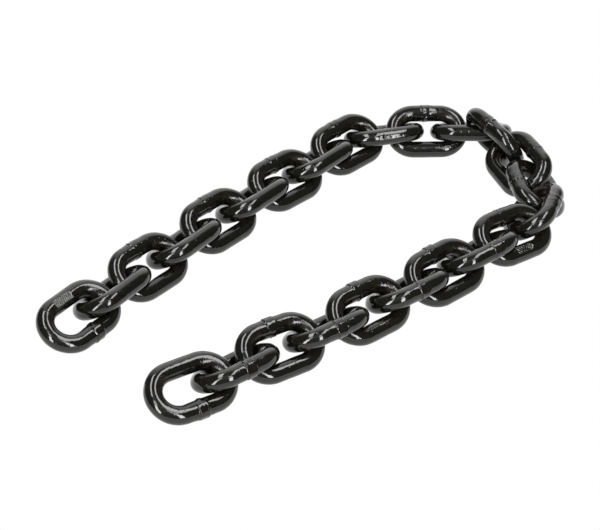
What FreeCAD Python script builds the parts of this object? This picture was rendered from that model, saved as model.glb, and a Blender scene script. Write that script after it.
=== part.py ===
import FreeCAD, Part
import os

# Short-link welded round-steel chain: 25 links with the same body, lying on a flat surface
# in an open loop from link_01 to link_25. Millimetres, +Z up. The surface is z = 0 and the
# origin is in the middle of the footprint on it.
# Link frame: x along the link, y across it, z normal to its plane, origin at its centre.

Vector = FreeCAD.Vector
ORIGIN = Vector(0, 0, 0)
X_AXIS = Vector(1, 0, 0)
Z_AXIS = Vector(0, 0, 1)

# Link body
WIRE_DIAMETER = 12.7   # round bar the links are bent from (13 mm nominal size)
INSIDE_LENGTH = 39.3   # pitch: free length inside one link
INSIDE_WIDTH = 18.3    # free width inside one link
WIRE_RADIUS = WIRE_DIAMETER / 2
BAR_Y = INSIDE_WIDTH / 2 + WIRE_RADIUS          # link axis to bar axis, also the bend radius
CROWN_X = (INSIDE_LENGTH - INSIDE_WIDTH) / 2    # link centre to the centre of a crown bend

# Weld: a collar on one bar of each link, with two trimmed flash ridges round it
COLLAR_LENGTH = 9.4
COLLAR_RADIUS = WIRE_RADIUS + 0.35
COLLAR_CHAMFER = 0.25
WELD_OFFSET = 0.20     # shift of the weld axis from the bar axis, away from the link axis
RIDGE_WIDTH = 0.8
RIDGE_RADIUS = WIRE_RADIUS + 0.55
RIDGE_SPACING = 7.4    # centre to centre
RIDGE_CHAMFER = COLLAR_CHAMFER * 0.8

# Stamping pad: a flat milled on a bar, with shallow slanted ribs standing on it
PAD_LENGTH = 15.0
PAD_DEPTH = 0.80
PAD_FLOOR = WIRE_RADIUS - PAD_DEPTH             # bar axis to the flat
RIB_COUNT = 7
RIB_PITCH = PAD_LENGTH / (RIB_COUNT + 1)
RIB_LENGTH = 3.6
RIB_WIDTH = 0.60
RIB_HEIGHT = 0.28
RIB_ROOT = 0.3         # depth of a rib sunk below the flat
RIB_LEAN = 28.0        # degrees from square across the bar

# name, centre, rotation quaternion (x, y, z, w), side of the welded bar (sign of y), weld x
LINKS = [
    ("link_01", (-160.229, -76.163, 15.785), (0.207162, 0.087656, 0.427099, 0.875778), -1, 0.4),
    ("link_02", (-139.904, -50.735, 16.149), (0.856611, 0.431823, 0.123701, 0.253861), -1, 1.3),
    ("link_03", (-117.363, -21.998, 15.952), (0.247105, 0.124734, 0.398210, 0.874534), +1, 0.0),
    ("link_04", (-93.772, 6.026, 15.754), (0.867001, 0.411797, 0.122366, 0.252504), -1, -1.3),
    ("link_05", (-70.308, 33.488, 15.835), (0.246664, 0.113632, 0.387038, 0.881162), +1, 0.7),
    ("link_06", (-46.229, 60.347, 15.692), (0.874589, 0.397483, 0.114201, 0.253100), -1, 0.7),
    ("link_07", (-21.977, 85.907, 15.624), (0.241601, 0.103035, 0.357734, 0.896125), +1, -0.8),
    ("link_08", (2.639, 111.181, 15.701), (0.878688, 0.393715, 0.109590, 0.246752), -1, -1.9),
    ("link_09", (25.829, 133.897, 16.375), (0.263169, 0.082844, 0.347622, 0.896124), +1, -0.6),
    ("link_10", (55.334, 149.452, 14.963), (0.959465, 0.126927, 0.029798, 0.249856), -1, 1.3),
    ("link_11", (89.250, 154.487, 15.323), (0.281883, 0.010179, 0.017704, 0.959231), +1, -0.3),
    ("link_12", (124.326, 154.609, 15.330), (0.968374, -0.020482, 0.009446, 0.248480), -1, 0.0),
    ("link_13", (140.905, 134.512, 21.739), (0.742206, -0.389674, -0.285803, 0.464329), +1, -2.5),
    ("link_14", (156.460, 104.795, 18.532), (0.267079, -0.142789, -0.532097, 0.790666), +1, -0.7),
    ("link_15", (166.105, 75.346, 16.369), (0.731215, -0.643462, -0.150982, 0.168781), +1, 0.0),
    ("link_16", (161.234, 41.967, 19.052), (0.161367, -0.272609, -0.768214, 0.556320), +1, 0.1),
    ("link_17", (142.718, 14.828, 18.069), (0.286724, -0.929070, -0.214795, 0.092092), +1, 0.0),
    ("link_18", (115.956, -6.085, 17.336), (0.134810, -0.267181, -0.919391, 0.255266), +1, -6.6),
    ("link_19", (91.015, -26.757, 15.933), (0.324269, -0.913225, -0.235212, 0.074468), +1, 0.7),
    ("link_20", (64.042, -46.797, 15.734), (0.093064, -0.274357, -0.908325, 0.301683), +1, -1.1),
    ("link_21", (36.205, -68.044, 15.525), (0.313835, -0.915911, -0.236065, 0.082997), +1, 0.3),
    ("link_22", (7.352, -88.656, 15.746), (0.087120, -0.285626, -0.908447, 0.292493), +1, -1.0),
    ("link_23", (-23.287, -108.380, 15.885), (0.263117, -0.927989, -0.250925, 0.081506), +1, -0.1),
    ("link_24", (-52.243, -128.710, 16.127), (0.078638, -0.262800, -0.903368, 0.329665), +1, -0.1),
    ("link_25", (-79.960, -148.931, 16.907), (0.268370, -0.933763, -0.221248, 0.084337), -1, 1.2),
]

# name: side of the bar (sign of y), pad normal in degrees from +y towards +z, pad centre x,
# rib pattern ("slant": all lean one way, "cross": the lean alternates)
PADS = {
    "link_01": (+1, 101.9, -3.0, "slant"),
    "link_17": (-1, -84.5, 1.7, "cross"),
}


def bar(start_x, end_x, y):
    return Part.makeCylinder(WIRE_RADIUS, end_x - start_x, Vector(start_x, y, 0), X_AXIS)


def crown(end):
    """Half-torus bend at the +x (end = 1) or -x (end = -1) end of the link."""
    bend = Part.makeTorus(BAR_Y, WIRE_RADIUS, ORIGIN, Z_AXIS, -180, 180, 180)
    bend.rotate(ORIGIN, Z_AXIS, -90 * end)
    bend.translate(Vector(end * CROWN_X, 0, 0))
    return bend


def plain_link():
    bars = [bar(-CROWN_X, CROWN_X, side * BAR_Y) for side in (1, -1)]
    return crown(1).fuse(bars + [crown(-1)]).removeSplitter()


def chamfered_disc(centre_x, y, width, radius, chamfer):
    """Disc along x with both rims chamfered."""
    disc = Part.makeCylinder(radius, width, Vector(centre_x - width / 2, y, 0), X_AXIS)
    # The rims are flat in x; the seam is not
    rims = [edge for edge in disc.Edges if edge.BoundBox.XLength < 1e-6]
    return disc.makeChamfer(chamfer, rims)


def weld(side, x):
    y = side * (BAR_Y + WELD_OFFSET)
    collar = chamfered_disc(x, y, COLLAR_LENGTH, COLLAR_RADIUS, COLLAR_CHAMFER)
    ridges = [
        chamfered_disc(x + end * RIDGE_SPACING / 2, y, RIDGE_WIDTH, RIDGE_RADIUS, RIDGE_CHAMFER)
        for end in (-1, 1)
    ]
    return [collar] + ridges


def add_pad(link, side, angle, x, pattern):
    # Pad frame: x along the bar, z out of the flat, origin on the bar axis
    frame = FreeCAD.Placement(Vector(x, side * BAR_Y, 0), FreeCAD.Rotation(X_AXIS, angle - 90))
    cutter = Part.makeBox(PAD_LENGTH, 2 * WIRE_DIAMETER, WIRE_DIAMETER,
                          Vector(-PAD_LENGTH / 2, -WIRE_DIAMETER, PAD_FLOOR))
    cutter.Placement = frame.multiply(cutter.Placement)
    link = link.cut(cutter)
    ribs = []
    for i in range(RIB_COUNT):
        lean = -RIB_LEAN if pattern == "cross" and i % 2 == 0 else RIB_LEAN
        rib = Part.makeBox(RIB_WIDTH, RIB_LENGTH, RIB_HEIGHT + RIB_ROOT,
                           Vector(-RIB_WIDTH / 2, -RIB_LENGTH / 2, -RIB_ROOT))
        rib.rotate(ORIGIN, Z_AXIS, lean)
        rib.translate(Vector(-PAD_LENGTH / 2 + (i + 1) * RIB_PITCH, 0, PAD_FLOOR))
        rib.Placement = frame.multiply(rib.Placement)
        ribs.append(rib)
    return link.fuse(ribs)


os.makedirs("parts", exist_ok=True)

body = plain_link()
for name, centre, quaternion, weld_side, weld_x in LINKS:
    link = body.fuse(weld(weld_side, weld_x))
    if name in PADS:
        link = add_pad(link, *PADS[name])
    link = link.removeSplitter()
    if len(link.Solids) != 1:
        raise ValueError(name + " is not one solid")
    link = link.Solids[0]
    link.Placement = FreeCAD.Placement(Vector(*centre), FreeCAD.Rotation(*quaternion))
    link.exportStep("parts/" + name + ".step")
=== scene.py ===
# Welded short-link chain of 25 black lacquered links, lying in a bent strand on the floor
# (z = 0, +Z up) and seen from the -y side. Each link is one swept mesh with its weld and
# surface marks, and rides on its own body of the frame.
# In its own axes a link lies in the xy plane, with its two straight bars along x.
import math
import bpy
import numpy as np
from mathutils import Matrix, Vector


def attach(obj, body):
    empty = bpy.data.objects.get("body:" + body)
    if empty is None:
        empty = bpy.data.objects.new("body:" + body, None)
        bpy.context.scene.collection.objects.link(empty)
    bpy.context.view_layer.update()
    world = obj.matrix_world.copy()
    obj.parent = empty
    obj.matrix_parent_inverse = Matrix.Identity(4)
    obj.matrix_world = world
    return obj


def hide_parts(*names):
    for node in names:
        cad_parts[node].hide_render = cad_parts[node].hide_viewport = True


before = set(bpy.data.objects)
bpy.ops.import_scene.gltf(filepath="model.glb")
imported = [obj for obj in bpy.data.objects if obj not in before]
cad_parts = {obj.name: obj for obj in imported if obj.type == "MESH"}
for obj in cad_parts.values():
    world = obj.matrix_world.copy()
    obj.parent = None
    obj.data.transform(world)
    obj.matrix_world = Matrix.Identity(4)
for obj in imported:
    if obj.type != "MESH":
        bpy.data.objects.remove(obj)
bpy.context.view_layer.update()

MM = 0.001

# ---------------------------------------------------------------- link dimensions (mm)
WIRE_RADIUS = 6.35
HALF_WIDTH = 15.5                      # of the centre line
HALF_LENGTH = 26.0                     # of the centre line
CROWN = HALF_LENGTH - HALF_WIDTH       # x where a bar runs into the round crown
BAR = 2 * CROWN
HALF_LOOP = BAR + math.pi * HALF_WIDTH
LOOP = 2 * HALF_LOOP
OFF_BAR = 99.0                         # stands for "not on this bar" or "no cut here"

# mesh spacing along the loop, and points around the section
SPACING, WELD_SPACING, MARK_SPACING, PAD_SPACING = 0.68, 0.26, 0.28, 0.22
AROUND, MARK_AROUND, PAD_AROUND = 44, 84, 96

# link 1 to 25: centre, quaternion (x, y, z, w), side (y sign) of the welded bar, weld x
LINKS = [
    ((-160.229, -76.163, 15.785), (0.207162, 0.087656, 0.427099, 0.875778), -1, 0.4),
    ((-139.904, -50.735, 16.149), (0.856611, 0.431823, 0.123701, 0.253861), -1, 1.3),
    ((-117.363, -21.998, 15.952), (0.247105, 0.124734, 0.398210, 0.874534), +1, 0.0),
    ((-93.772, 6.026, 15.754), (0.867001, 0.411797, 0.122366, 0.252504), -1, -1.3),
    ((-70.308, 33.488, 15.835), (0.246664, 0.113632, 0.387038, 0.881162), +1, 0.7),
    ((-46.229, 60.347, 15.692), (0.874589, 0.397483, 0.114201, 0.253100), -1, 0.7),
    ((-21.977, 85.907, 15.624), (0.241601, 0.103035, 0.357734, 0.896125), +1, -0.8),
    ((2.639, 111.181, 15.701), (0.878688, 0.393715, 0.109590, 0.246752), -1, -1.9),
    ((25.829, 133.897, 16.375), (0.263169, 0.082844, 0.347622, 0.896124), +1, -0.6),
    ((55.334, 149.452, 14.963), (0.959465, 0.126927, 0.029798, 0.249856), -1, 1.3),
    ((89.250, 154.487, 15.323), (0.281883, 0.010179, 0.017704, 0.959231), +1, -0.3),
    ((124.326, 154.609, 15.330), (0.968374, -0.020482, 0.009446, 0.248480), -1, 0.0),
    ((140.905, 134.512, 21.739), (0.742206, -0.389674, -0.285803, 0.464329), +1, -2.5),
    ((156.460, 104.795, 18.532), (0.267079, -0.142789, -0.532097, 0.790666), +1, -0.7),
    ((166.105, 75.346, 16.369), (0.731215, -0.643462, -0.150982, 0.168781), +1, 0.0),
    ((161.234, 41.967, 19.052), (0.161367, -0.272609, -0.768214, 0.556320), +1, 0.1),
    ((142.718, 14.828, 18.069), (0.286724, -0.929070, -0.214795, 0.092092), +1, 0.0),
    ((115.956, -6.085, 17.336), (0.134810, -0.267181, -0.919391, 0.255266), +1, -6.6),
    ((91.015, -26.757, 15.933), (0.324269, -0.913225, -0.235212, 0.074468), +1, 0.7),
    ((64.042, -46.797, 15.734), (0.093064, -0.274357, -0.908325, 0.301683), +1, -1.1),
    ((36.205, -68.044, 15.525), (0.313835, -0.915911, -0.236065, 0.082997), +1, 0.3),
    ((7.352, -88.656, 15.746), (0.087120, -0.285626, -0.908447, 0.292493), +1, -1.0),
    ((-23.287, -108.380, 15.885), (0.263117, -0.927989, -0.250925, 0.081506), +1, -0.1),
    ((-52.243, -128.710, 16.127), (0.078638, -0.262800, -0.903368, 0.329665), +1, -0.1),
    ((-79.960, -148.931, 16.907), (0.268370, -0.933763, -0.221248, 0.084337), -1, 1.2),
]

# ---------------------------------------------------------------- shaping helpers


def rotation(quaternion):
    x, y, z, w = np.array(quaternion) / np.linalg.norm(quaternion)
    return np.array([
        [1 - 2 * (y * y + z * z), 2 * (x * y - z * w), 2 * (x * z + y * w)],
        [2 * (x * y + z * w), 1 - 2 * (x * x + z * z), 2 * (y * z - x * w)],
        [2 * (x * z - y * w), 2 * (y * z + x * w), 1 - 2 * (x * x + y * y)]])


def waves(points, seed, wavelength, count=7):
    """Smooth repeatable noise in about -1..1 from a sum of plane waves."""
    random = np.random.RandomState(seed)
    total = np.zeros(points.shape[:-1])
    for _ in range(count):
        wave = random.normal(size=3)
        wave *= 2 * np.pi / (np.linalg.norm(wave) * wavelength * random.uniform(0.65, 1.5))
        total += np.sin(points @ wave + random.uniform(0, 2 * np.pi))
    return total / math.sqrt(count / 2.0) / 1.6


def rise(start, end, x):
    """Smooth step from 0 at start to 1 at end."""
    t = np.clip((x - start) / (end - start), 0, 1)
    return t * t * (3 - 2 * t)


def fall(start, end, x):
    return 1 - rise(start, end, x)


def plateau(start, end, soft, x):
    """1 between start and end, with edges that blend over +-soft."""
    return rise(start - soft, start + soft, x) * fall(end - soft, end + soft, x)


def bell(distance, width, power=2):
    return np.exp(-0.5 * (distance / width) ** power)


# ---------------------------------------------------------------- swept bar
def centre_line(s):
    """At arc length s: x, y, outward normal x and y, bar side (0 on the crowns).
    The second half of the loop is the first turned by 180 degrees."""
    turn = 1 if s < HALF_LOOP else -1
    if turn < 0:
        s -= HALF_LOOP
    if s < BAR:
        return turn * (s - CROWN), turn * HALF_WIDTH, 0.0, turn, turn
    angle = math.pi / 2 - (s - BAR) / HALF_WIDTH
    normal_x, normal_y = turn * math.cos(angle), turn * math.sin(angle)
    return turn * CROWN + HALF_WIDTH * normal_x, HALF_WIDTH * normal_y, normal_x, normal_y, 0


def arc_length(side, x):
    """Arc length of position x on a bar."""
    return CROWN + x if side > 0 else HALF_LOOP + CROWN - x


def stations(spans):
    """Arc lengths, closer together inside the (middle, half length, spacing) spans."""
    s = np.linspace(0, LOOP, 6000, endpoint=False)
    density = np.full(s.shape, 1.0 / SPACING)
    for middle, half, spacing in spans:
        distance = np.abs((s - middle + LOOP / 2) % LOOP - LOOP / 2)
        density = np.maximum(density, (1.0 / spacing) * fall(half, half + 2.0, distance))
    passed = np.concatenate([[0], np.cumsum(density) * LOOP / len(s)])
    count = int(round(passed[-1]))
    return np.interp(np.arange(count) * passed[-1] / count, passed, np.append(s, LOOP))


class Sweep:
    """Grid of one link: rows are stations along the loop, columns go round the section.
    phi is 0 on the outside of the loop, 90 degrees towards the link's +z."""

    def __init__(self, number, arc_lengths, around):
        line = np.array([centre_line(s) for s in arc_lengths])
        self.x, y, normal_x, normal_y, self.side = line.T[:, :, None]
        self.phi = (np.arange(around) / around * 2 * np.pi)[None, :]
        self.signed_phi = np.where(self.phi > np.pi, self.phi - 2 * np.pi, self.phi)
        self.degrees = np.degrees(self.signed_phi)
        self.cos = np.cos(self.phi)
        self.direction = np.stack(np.broadcast_arrays(
            self.cos * normal_x, self.cos * normal_y, np.sin(self.phi)), -1)
        self.axis = np.stack([self.x, y, np.zeros_like(y)], -1)
        self.skin = self.axis + WIRE_RADIUS * self.direction
        self.ring = self.skin * np.array([0.0, 1.0, 1.0])   # for noise constant along x
        self.seed = 100 + 17 * number
        self.waver = 0.26 * waves(self.ring, self.seed + 3, wavelength=9.0)

    def noise(self, seed_offset, wavelength):
        return waves(self.skin, self.seed + seed_offset, wavelength)

    def along(self, side, origin=0.0, sign=1.0):
        """Distance from origin along one bar."""
        return np.where(self.side == side, sign * (self.x - origin), OFF_BAR)


def uneven_radius(sweep):
    """Slow unevenness of rolled, bent and thickly lacquered bar."""
    return WIRE_RADIUS + (0.050 * sweep.noise(0, wavelength=17.0)
                          + 0.020 * sweep.noise(1, wavelength=7.0)
                          + 0.008 * sweep.noise(2, wavelength=3.2))


# ---------------------------------------------------------------- weld
WELD_HALF = 3.7                        # weld middle to either edge
WELD_SPAN = 5.6                        # half length of the finely meshed stretch
# outward stand of the weld, height where it is trimmed flat (both over the bar radius),
# how far its ridge runs down the face of the link, and how strong the ridge is
PLAIN_WELD = (0.36, 0.28, 0.8, 1.0)
WELDS = {
    1: (0.86, 0.75, 0.4, 0.4), 13: (0.45, 0.25, 0.5, 1.0), 14: (0.26, 0.20, 0.15, 0.7),
    15: (0.42, 0.15, 0.9, 1.3), 16: (0.45, 0.20, 0.6, 1.2), 17: (0.30, 0.20, 0.1, 0.6),
    18: (0.44, 0.16, 0.4, 0.3), 19: (0.82, 0.72, 0.2, 1.0), 20: (0.66, 0.06, 0.5, 1.15),
    21: (0.88, 0.76, 0.2, 1.0), 22: (0.66, 0.06, 0.5, 1.15), 23: (0.82, 0.72, 0.25, 1.0),
    24: (0.66, 0.04, 0.5, 1.15), 25: (0.66, 0.52, 0.8, 1.1)}


def add_weld(sweep, radius, number, side, weld_x):
    """Upset steel trimmed flat outside, with one sharp and one worn edge, and a rough
    tongue of flash on the inside of the link. Returns the radius and the weld mask."""
    stand, trim, face, keenness = WELDS.get(number, PLAIN_WELD)
    # x sign of the sharp edge; u is the distance from the weld towards it
    sharp = 1.0 if number > 12 and number not in (16, 25) else -1.0
    on_bar = sweep.side == side
    u = sweep.along(side, weld_x, sharp)
    wavy_u = u + sweep.waver
    outward = 0.5 * (1 + sweep.cos)

    # raised band, tapering into the bar on both sides
    soft = 0.5 if trim < 0.5 else 0.9
    band = (fall(WELD_HALF - soft, WELD_HALF + soft, wavy_u)
            * fall(WELD_HALF - 1.1, WELD_HALF + 1.0, -wavy_u))
    taper = fall(WELD_HALF, WELD_HALF + 5.5, np.abs(u)) * on_bar
    radius = radius + taper * (0.06 + 0.12 * outward)
    lifted = radius + band * (0.04 + (stand - 0.14) * outward ** 1.5
                              + 0.05 * sweep.noise(4, wavelength=3.4))
    trimmed = ((WIRE_RADIUS + trim) / np.maximum(sweep.cos, 0.25)
               + 0.03 * sweep.noise(14, wavelength=2.4))
    trimmed = np.minimum(lifted, np.maximum(radius - 0.10 * band, trimmed))
    radius = np.where(band > 0, trimmed, radius)

    # shallow pits in the outer face
    pits = rise(0.15, 0.55, sweep.noise(31, wavelength=1.9)) * rise(0.35, 0.9, sweep.cos)
    radius = radius - 0.05 * pits * fall(WELD_HALF - 1.6, WELD_HALF - 0.8, np.abs(wavy_u))

    # ridge on the sharp edge; groove and low swell on the worn edge
    reach = (face * rise(-0.55, 0.10, sweep.cos) * 0.5
             + (1 - 0.5 * face) * rise(-0.05, 0.50, sweep.cos))
    vary = np.clip(0.95 + 0.35 * waves(sweep.ring, sweep.seed + 5, wavelength=5.0), 0.6, 1.3)
    radius = radius + bell(wavy_u - WELD_HALF, width=0.46) * vary * 0.23 * keenness * reach
    radius = radius - bell(wavy_u + WELD_HALF, width=0.34) * 0.13 * reach
    radius = radius + bell(wavy_u + WELD_HALF + 0.8, width=0.40) * 0.05 * reach

    # tongue of flash facing the hole of the link
    burr = np.clip(0.50 + 0.60 * sweep.noise(9, wavelength=3.0), 0.0, 1.2)
    tongue = on_bar * rise(0.45, 0.95, -sweep.cos) * bell(u - 0.3, width=1.7, power=4)
    radius = radius + tongue * (0.18 + 0.50 * burr)
    return radius, np.maximum(band * rise(0.0, 0.5, sweep.cos), tongue)


# ---------------------------------------------------------------- nick and marks
NICKED = (2, 4, 6, 8)


def cut_nick(sweep, radius):
    """Small slanting nick beside the middle of the +y bar."""
    x = sweep.along(+1, 3.7)
    t = WIRE_RADIUS * (sweep.signed_phi + 0.16)
    lengthwise = x * 0.80 + t * 0.60
    across = -x * 0.60 + t * 0.80
    return radius - 0.13 * bell(across, width=0.34) * fall(0.7, 1.5, np.abs(lengthwise))


def worn_facet(sweep, radius, x, start, end):
    """Facet with a notch across it and a slightly uneven face."""
    inside = plateau(start, end, 0.4, x)
    depth = 0.24 - 0.10 * rise(-1.0, end, x)
    facet = (WIRE_RADIUS - depth) / np.maximum(np.cos(np.radians(sweep.degrees + 2.0)), 0.5)
    radius = np.minimum(radius, facet * inside + OFF_BAR * (1 - inside))
    notch = bell(x + 5.6, width=0.42 * 2 ** 0.0, power=4) * plateau(-23, 17, 3, sweep.degrees)
    ripple = 0.005 * inside * sweep.noise(21, wavelength=4.6)
    return radius - 0.22 * notch + ripple * (np.abs(sweep.degrees + 12) < 32)


def raised_bands(sweep, radius, x, start, end):
    """Two raised bands over the +z face of the bar, the second one slanting."""
    arc = plateau(69, 121, 5, sweep.degrees)
    slant = (sweep.degrees - 95.0) * 0.012
    bands = (bell(x + 2.5 + 0.2 * sweep.waver, width=0.55)
             + bell(x - 2.8 + slant, width=0.60))
    ripple = 0.012 * plateau(start, end, 0.4, x) * sweep.noise(21, wavelength=2.2)
    return radius + arc * (0.13 * bands + ripple)


def raised_domes(sweep, radius, x, start, end):
    """Two low domes, each given as x, degrees round the bar and width along it."""
    for dome_x, dome_degrees, width in ((-3.6, -13.0, 1.0), (-9.4, -12.0, 0.8)):
        t = WIRE_RADIUS * np.radians(sweep.degrees - dome_degrees)
        radius = radius + 0.16 * np.exp(-((x - dome_x) / width) ** 2 - (t / 1.5) ** 2)
    return radius


# link number: bar side, from x, to x, shape
MARKS = {10: (+1, -10.5, 6.8, worn_facet),
         11: (+1, -4.0, 5.0, raised_bands),
         12: (+1, -10.4, -2.0, raised_domes)}

# ---------------------------------------------------------------- milled flats
PAD_HALF = 7.5
PAD_DEPTH = 0.80
# link number: bar side, facing (degrees from the link's +y towards +z), middle x, ribs
# (weights of x and t in their slant, pitch, height), strength of the bare-steel mask
PADS = {
    1: dict(side=+1, facing=101.9, middle=-3.0, slant=(0.94, 0.34), pitch=1.55, rib=0.26,
            bare=1.0, crossed=False),
    17: dict(side=-1, facing=-84.5, middle=1.7, slant=(0.86, 0.5), pitch=1.9, rib=0.13,
             bare=0.03, crossed=True)}


def mill_flat(sweep, radius, pad):
    """Flat with shallow ribs. Returns the radius and the bare-steel mask."""
    x = sweep.along(pad["side"], pad["middle"])
    facing = math.radians(pad["facing"])
    turn = sweep.phi - math.atan2(math.sin(facing), math.cos(facing) * pad["side"])
    t = WIRE_RADIUS * np.sin(turn)
    inside = fall(PAD_HALF - 0.25, PAD_HALF + 0.25, np.abs(x))

    # crossed ribs lean the other way on the -x half
    lean = np.where(x > 0, 1, -1) if pad["crossed"] else 1
    x_weight, t_weight = pad["slant"]
    phase = (x * x_weight + t * t_weight * lean) / pad["pitch"]
    rib = rise(0.28, 0.42, np.abs((phase % 1) - 0.5))
    rib = rib * fall(2.3, 2.7, np.abs(t)) * fall(PAD_HALF - 1.6, PAD_HALF - 1.2, np.abs(x))
    height = (WIRE_RADIUS - PAD_DEPTH + pad["rib"] * rib
              + 0.03 * sweep.noise(12, wavelength=1.6))
    if pad["crossed"]:
        # the run-out of the cutter rises at the -x end, small marks stand past it
        height = height + PAD_DEPTH * fall(-PAD_HALF, -PAD_HALF + 2.8, x) * 0.9
        marks = rise(0.05, 0.35, sweep.noise(22, wavelength=2.6))
        height = height + 0.05 * marks * (x > -4.6)

    cos = np.cos(turn)
    cut = np.where(cos > 0.5, height / np.maximum(cos, 0.5), OFF_BAR)
    bare = inside * rise(0.0, 0.25, radius - cut) * (cos > 0.5) * pad["bare"]
    return radius * (1 - inside) + np.minimum(radius, cut) * inside, bare


# ---------------------------------------------------------------- link objects
def grid_object(name, points, attributes):
    """Smooth closed tube through a grid of points (m), with float point attributes."""
    grid = np.arange(points.shape[0] * points.shape[1]).reshape(points.shape[:2])
    ahead = np.roll(grid, -1, axis=0)
    faces = np.stack([grid, ahead, np.roll(ahead, -1, axis=1), np.roll(grid, -1, axis=1)], -1)
    face_count = grid.size
    mesh = bpy.data.meshes.new(name + "_steel")
    mesh.vertices.add(grid.size)
    mesh.vertices.foreach_set("co", points.astype(np.float32).ravel())
    mesh.loops.add(faces.size)
    mesh.loops.foreach_set("vertex_index", faces.ravel().astype(np.int32))
    mesh.polygons.add(face_count)
    mesh.polygons.foreach_set("loop_start", (np.arange(face_count) * 4).astype(np.int32))
    mesh.update(calc_edges=True)
    mesh.validate()
    mesh.flip_normals()                # this winding faces into the bar
    mesh.polygons.foreach_set("use_smooth", np.ones(face_count, bool))
    for key, values in attributes.items():
        attribute = mesh.attributes.new(key, "FLOAT", "POINT")
        attribute.data.foreach_set("value", values.astype(np.float32).ravel())
    link = bpy.data.objects.new("chain_" + name, mesh)
    bpy.context.scene.collection.objects.link(link)
    return link


def make_link(name, number, centre, quaternion, weld_side, weld_x):
    mark, pad = MARKS.get(number), PADS.get(number)
    around = AROUND
    spans = [(arc_length(weld_side, weld_x), WELD_SPAN, WELD_SPACING)]
    if mark:
        around = MARK_AROUND
        side, start, end, shape = mark
        spans.append((arc_length(side, 0.5 * (start + end)), 0.5 * (end - start) + 0.5,
                      MARK_SPACING))
    if pad:
        around = PAD_AROUND
        spans.append((arc_length(pad["side"], pad["middle"]), PAD_HALF + 0.8, PAD_SPACING))

    sweep = Sweep(number, stations(spans), around)
    radius, weld = add_weld(sweep, uneven_radius(sweep), number, weld_side, weld_x)
    if number in NICKED:
        radius = cut_nick(sweep, radius)
    if mark:
        radius = shape(sweep, radius, sweep.along(side), start, end)
    bare = np.zeros_like(radius)
    if pad:
        radius, bare = mill_flat(sweep, radius, pad)
    # inside of the crowns, where the next link bears; worn there, and tinted warm in the shader
    # as a painted sheen
    crown_wear_and_sheen = (rise(-0.1, 0.8, -sweep.cos)
            * rise(CROWN - 2.0, CROWN + 3.0, np.abs(sweep.x)))

    points = sweep.axis + radius[..., None] * sweep.direction
    placed = (points.reshape(-1, 3) @ rotation(quaternion).T + np.array(centre)) * MM
    return grid_object(name, placed.reshape(points.shape), dict(weld=weld, pad=bare, crown_wear_and_sheen=crown_wear_and_sheen))


# ---------------------------------------------------------------- shader helpers
class Nodes:
    """Short calls for building a node tree; inputs take numbers or sockets."""

    def __init__(self, tree):
        self.tree = tree

    def add(self, kind, inputs=None, **settings):
        made = self.tree.nodes.new("ShaderNode" + kind)
        for key, value in settings.items():
            setattr(made, key, value)
        for key, value in (inputs or {}).items():
            if isinstance(value, bpy.types.NodeSocket):
                self.tree.links.new(value, made.inputs[key])
            else:
                made.inputs[key].default_value = value
        return made

    def math(self, operation, *values):
        return self.add("Math", dict(enumerate(values)), operation=operation).outputs[0]

    def remap(self, value, source, target, curve="LINEAR"):
        """Map the source range to the target range, clamped."""
        return self.add("MapRange", {
            "Value": value, "From Min": source[0], "From Max": source[1],
            "To Min": target[0], "To Max": target[1]}, interpolation_type=curve).outputs[0]

    def camera_switch(self, unseen, seen):
        """One shader for light and reflections, another where the camera looks."""
        path = self.add("LightPath")
        return self.add("MixShader", {0: path.outputs["Is Camera Ray"],
                                      1: unseen.outputs[0], 2: seen.outputs[0]}).outputs[0]


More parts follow.
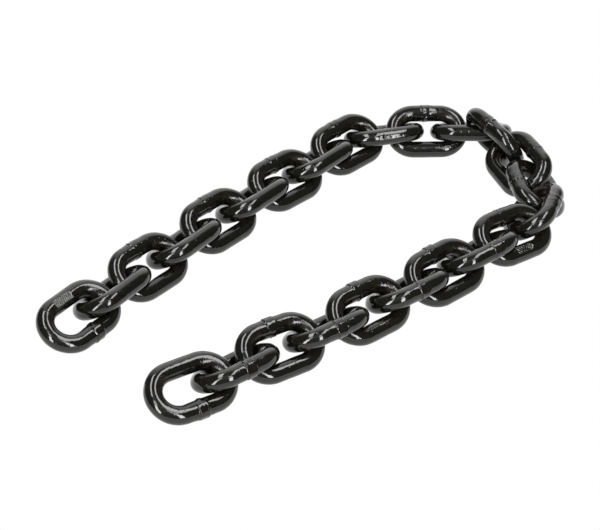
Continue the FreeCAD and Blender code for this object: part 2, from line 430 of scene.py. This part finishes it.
# ---------------------------------------------------------------- lacquered steel
def lacquer():
    material = bpy.data.materials.new("black_lacquer_steel")
    material.use_nodes = True
    nodes = Nodes(material.node_tree)
    nodes.tree.nodes.clear()
    remap = nodes.remap
    output = nodes.add("OutputMaterial")
    surface = nodes.add("BsdfPrincipled", {"IOR": 1.5})
    nodes.tree.links.new(surface.outputs[0], output.inputs[0])
    place = nodes.add("TexCoord").outputs["Object"]

    def noise(scale, detail, roughness, distortion):
        return nodes.add("TexNoise", {
            "Scale": scale, "Detail": detail, "Roughness": roughness,
            "Distortion": distortion, "Vector": place}).outputs["Fac"]

    def times(a, b):
        return nodes.math("MULTIPLY", a, b)

    def plus(a, b):
        return nodes.math("ADD", a, b)

    def tint(base, amount, colour):
        return nodes.add("Mix", {0: amount, 6: base, 7: (*colour, 1)},
                         data_type="RGBA").outputs[2]

    def bump(height, strength, distance, **normal):
        return nodes.add("Bump", {"Strength": strength, "Distance": distance,
                                  "Height": height, **normal}).outputs[0]

    weld, pad, crown_wear_and_sheen = (nodes.add("Attribute", attribute_name=key).outputs["Fac"]
                       for key in ("weld", "pad", "crown_wear_and_sheen"))
    big = noise(scale=55, detail=3, roughness=0.55, distortion=0.3)
    mid = noise(scale=260, detail=3, roughness=0.55, distortion=0.3)
    fine = noise(scale=1300, detail=3, roughness=0.6, distortion=0.0)
    speck = noise(scale=420, detail=1, roughness=0.5, distortion=0.0)

    # near-black with a slow warm to cool drift, browner at the weld, warm brown in the crowns
    # (worn face plus a painted warm sheen), pale specks, and bare grey on the milled flats
    base = tint((0.0030, 0.0029, 0.0016, 1), remap(big, (0.35, 0.65), (0, 1)),
                (0.0023, 0.0024, 0.0018))
    base = tint(base, remap(mid, (0.38, 0.62), (0, 1)), (0.0042, 0.0039, 0.0024))
    base = tint(base, times(weld, remap(mid, (0.42, 0.62), (0, 0.9))),
                (0.0072, 0.0052, 0.0038))
    # painted warm sheen: a lighter warm brown where the crowns bear, over their worn, rougher
    # coat
    base = tint(base, times(crown_wear_and_sheen, remap(mid, (0.42, 0.62), (0, 1))),
                (0.0130, 0.0102, 0.0062))
    base = tint(base, remap(speck, (0.76, 0.80), (0, 0.7)), (0.014, 0.013, 0.011))
    base = tint(base, times(pad, remap(fine, (0.42, 0.60), (0.10, 1))),
                (0.105, 0.105, 0.098))
    nodes.tree.links.new(base, surface.inputs["Base Color"])

    # glossy, duller on the weld, the flats and inside the crowns
    rough = remap(mid, (0.30, 0.75), (0.04, 0.09))
    rough = plus(rough, times(weld, remap(fine, (0.35, 0.7), (0, 0.04))))
    rough = plus(rough, times(pad, 0.22))
    rough = plus(rough, times(crown_wear_and_sheen, remap(mid, (0.35, 0.65), (0.02, 0.13))))
    nodes.tree.links.new(rough, surface.inputs["Roughness"])

    # shallow orange peel, small nibs, rougher inside the crowns, then a fine grain
    height = times(mid, 0.6)
    height = plus(height, times(remap(speck, (0.70, 0.80), (0, 1)), 0.55))
    crown = noise(scale=620, detail=3, roughness=0.6, distortion=0.5)
    height = plus(height, times(times(crown_wear_and_sheen, crown), 1.3))
    peel = bump(height, strength=1.0, distance=0.00013)
    grain = times(fine, plus(times(pad, 1.6), 0.25))
    normal = bump(grain, strength=0.5, distance=0.00004, Normal=peel)
    nodes.tree.links.new(normal, surface.inputs["Normal"])
    return material


steel = lacquer()
for number, placing in enumerate(LINKS, start=1):
    name = f"link_{number:02d}"
    link = make_link(name, number, *placing)
    link.data.materials.append(steel)
    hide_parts(name)
    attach(link, name)

# ---------------------------------------------------------------- floor (m from here on)
FLOOR_HALF = 4.0
FLOOR_Z = 0.0002


def floor_material():
    """Pale glowing sheet. It lights and is mirrored in the links, and is clear to the
    eye, so a strand swung below it stays in sight."""
    material = bpy.data.materials.new("pale_floor")
    material.use_nodes = True
    nodes = Nodes(material.node_tree)
    sheet = nodes.tree.nodes["Principled BSDF"]
    for key, value in {"Base Color": (0.30, 0.30, 0.30, 1), "Roughness": 0.6,
                       "Specular IOR Level": 0.0, "Emission Color": (1, 1, 1, 1),
                       "Emission Strength": 0.7}.items():
        sheet.inputs[key].default_value = value
    shader = nodes.camera_switch(unseen=sheet, seen=nodes.add("BsdfTransparent"))
    nodes.tree.links.new(shader, nodes.tree.nodes["Material Output"].inputs["Surface"])
    return material


floor_mesh = bpy.data.meshes.new("floor")
corners = [(x * FLOOR_HALF, y * FLOOR_HALF, 0) for x, y in ((-1, -1), (1, -1), (1, 1), (-1, 1))]
floor_mesh.from_pydata(corners, [], [(0, 1, 2, 3)])
floor = bpy.data.objects.new("floor", floor_mesh)
floor.location.z = FLOOR_Z
bpy.context.scene.collection.objects.link(floor)
floor_mesh.materials.append(floor_material())


# ---------------------------------------------------------------- studio light
def panel(name, centre, target, width, height, radiance, up=(0, 0, 1)):
    """Rectangular lamp facing the target; pi W per square metre gives unit radiance."""
    lamp = bpy.data.lights.new(name, "AREA")
    lamp.shape = "RECTANGLE"
    lamp.size, lamp.size_y = width, height
    lamp.energy = radiance * width * height * math.pi
    holder = bpy.data.objects.new(name, lamp)
    bpy.context.scene.collection.objects.link(holder)
    z = (Vector(centre) - Vector(target)).normalized()
    x = Vector(up).cross(z).normalized()
    axes = Matrix((x, z.cross(x), z)).transposed().to_4x4()
    holder.matrix_world = Matrix.Translation(centre) @ axes
    holder.visible_camera = False


def polar(azimuth, elevation, distance):
    """Point from degrees: azimuth 0 is +y, behind the chain, and turns towards +x."""
    a, e = math.radians(azimuth), math.radians(elevation)
    return (distance * math.sin(a) * math.cos(e), distance * math.cos(a) * math.cos(e),
            distance * math.sin(e))


# two tall soft boxes either side of the camera, each with a dimmer one above
BOX = dict(distance=2.0, target=(0, 0, 0.02), width=0.4, radiance=16.8)
for name, azimuth in (("front_left", -148.5), ("front_right", 150.5)):
    panel(name, polar(azimuth, 23, BOX["distance"]), BOX["target"],
          width=BOX["width"], height=1.15, radiance=BOX["radiance"])
    panel(name + "_top", polar(azimuth, 49, BOX["distance"]), BOX["target"],
          width=BOX["width"] * 0.9, height=0.70, radiance=BOX["radiance"] * 0.42)

# two long banks straight overhead: name, x, y, length, radiance
for name, x, y, length, radiance in (("bank_left", -0.76, 0.06, 1.45, 10.2),
                                     ("bank_right", 0.74, -0.02, 1.32, 10.2 * 0.92)):
    panel(name, (x, y, 1.9), (x, y, 0), width=0.50, height=length, radiance=radiance,
          up=(0, 1, 0))


def studio_world():
    """White where seen directly; in reflections a pale backdrop behind, dark sides
    and a dim camera side."""
    world = bpy.data.worlds.new("studio")
    bpy.context.scene.world = world
    world.use_nodes = True
    nodes = Nodes(world.node_tree)
    nodes.tree.nodes.clear()
    output = nodes.add("OutputWorld")
    generated = nodes.add("TexCoord").outputs["Generated"]
    x, y, z = nodes.add("SeparateXYZ", {0: generated}).outputs

    def smooth(value, source, target):
        return nodes.remap(value, source, target, curve="SMOOTHSTEP")

    def sector(start, end, target):
        return smooth(off_back, (math.radians(start), math.radians(end)), target)

    # angle away from +y, pi at the camera
    off_back = nodes.math("ABSOLUTE", nodes.math("ARCTAN2", x, y))
    back = nodes.math("MULTIPLY", sector(14, 52, (1, 0)), smooth(z, (0.80, 0.97), (1, 0.12)))
    back = nodes.math("MULTIPLY", back, 1.65)
    sides = smooth(z, (0, 0.75), (0.09, 0.135))
    camera_side = nodes.math("MULTIPLY", sector(118, 150, (0, 1)),
                             smooth(z, (0.55, 0.85), (0.18, 0.45)))
    total = nodes.math("ADD", nodes.math("ADD", back, sides), camera_side)
    white = (1, 1, 1, 1)
    reflected = nodes.add("Background", {"Color": white, "Strength": total})
    direct = nodes.add("Background", {"Color": white, "Strength": 1.0})
    shader = nodes.camera_switch(unseen=reflected, seen=direct)
    nodes.tree.links.new(shader, output.inputs[0])


studio_world()

# ---------------------------------------------------------------- camera
CAMERA_PLACE = (-0.01035, -0.919618, 0.717817)
CAMERA_AXES = ((0.99999045, 0.00268689, 0.0034479),      # right
               (-0.0043712, 0.61467456, 0.78876871),     # up
               (0.0, -0.78877624, 0.61468044))           # backward
lens = bpy.data.cameras.new("camera")
lens.sensor_width = 36.0
lens.lens = 97.007
lens.clip_start, lens.clip_end = 0.01, 50
camera = bpy.data.objects.new("camera", lens)
scene = bpy.context.scene
scene.collection.objects.link(camera)
camera_turn = Matrix(CAMERA_AXES).transposed().to_4x4()
camera.matrix_world = Matrix.Translation(CAMERA_PLACE) @ camera_turn
scene.camera = camera
scene.view_settings.view_transform = "Standard"
scene.view_settings.look = "None"
